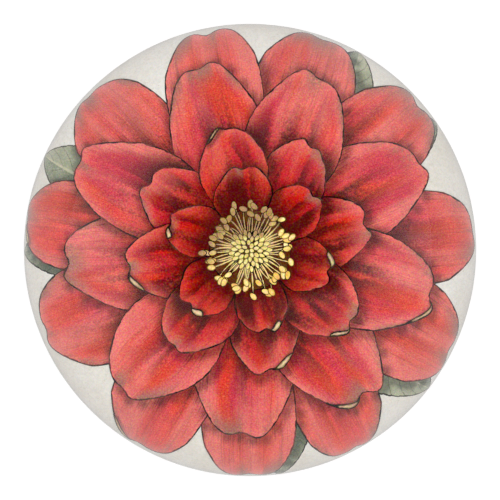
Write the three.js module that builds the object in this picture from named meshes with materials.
// A domed glass paperweight, in millimetres, +Z up, standing on z = 0 with its axis on Z.
// A solid glass dome carries a printed paper disc glued face up to its flat base, so the print is read
// through the glass. A felt disc is glued under the paper, and the paperweight rests on it.
import * as THREE from "three";

// Driving dimensions
const DIAMETER = 88.9; // three and a half inches across the glass
const HEIGHT = 38.1; // an inch and a half, felt included
const FELT_THICKNESS = 1.5;
const PAPER_THICKNESS = 0.25;
const CHAMFER = 0.75; // ground and polished edge round the flat base of the glass
const BAND_HEIGHT = 1.25; // short upright band between the chamfer and the dome
const PAPER_SETBACK = 0.25; // paper edge, in from the edge of the flat base
const FELT_SETBACK = 0.75; // felt edge, in from the edge of the flat base

// Smoothness of the round shapes
const SIDES = 96;
const DOME_STEPS = 26;

// Worked out from the driving dimensions
const RADIUS = DIAMETER / 2;
const BASE_RADIUS = RADIUS - CHAMFER;
const GLASS_BASE_Z = FELT_THICKNESS + PAPER_THICKNESS;
const BAND_BASE_Z = GLASS_BASE_Z + CHAMFER;
const DOME_BASE_Z = BAND_BASE_Z + BAND_HEIGHT;
const DOME_RISE = HEIGHT - DOME_BASE_Z;

// A solid of revolution about Z. The profile lists [radius, z] from the axis below to the axis above.
function turned(profile) {
  const points = profile.map(([radius, z]) => new THREE.Vector2(radius, z));
  const geometry = new THREE.LatheGeometry(points, SIDES);
  return geometry.rotateX(Math.PI / 2);
}

// A flat disc between two heights.
function disc(radius, bottomZ, topZ) {
  return turned([
    [0, bottomZ],
    [radius, bottomZ],
    [radius, topZ],
    [0, topZ],
  ]);
}

function named(name, geometry, material) {
  const mesh = new THREE.Mesh(geometry, material);
  mesh.name = name;
  return mesh;
}

// Glass dome: flat base, chamfer, upright band, then a quarter ellipse that rises to the crown.
function glassDome() {
  const profile = [
    [0, GLASS_BASE_Z],
    [BASE_RADIUS, GLASS_BASE_Z],
    [RADIUS, BAND_BASE_Z],
  ];
  for (let step = 0; step < DOME_STEPS; step++) {
    const angle = (Math.PI / 2) * (step / DOME_STEPS);
    profile.push([
      RADIUS * Math.cos(angle),
      DOME_BASE_Z + DOME_RISE * Math.sin(angle),
    ]);
  }
  profile.push([0, HEIGHT]);
  const material = new THREE.MeshStandardMaterial({
    color: 0xf4f8f5,
    roughness: 0.03,
    metalness: 0,
    transparent: true,
    opacity: 0.35,
  });
  return named("glass_dome", turned(profile), material);
}

// Printed paper: one thin disc glued face up against the glass. Its colour is the print's average red.
function printedPaper() {
  const material = new THREE.MeshStandardMaterial({
    color: 0xcf544c,
    roughness: 0.8,
    metalness: 0,
  });
  const radius = BASE_RADIUS - PAPER_SETBACK;
  return named(
    "printed_paper",
    disc(radius, FELT_THICKNESS, GLASS_BASE_Z),
    material,
  );
}

// Felt base: the soft disc that the paperweight stands on.
function feltBase() {
  const material = new THREE.MeshStandardMaterial({
    color: 0x2f4a38,
    roughness: 0.95,
    metalness: 0,
  });
  const radius = BASE_RADIUS - FELT_SETBACK;
  return named("felt_base", disc(radius, 0, FELT_THICKNESS), material);
}

const paperweight = new THREE.Group();
paperweight.add(glassDome(), printedPaper(), feltBase());

export default paperweight;
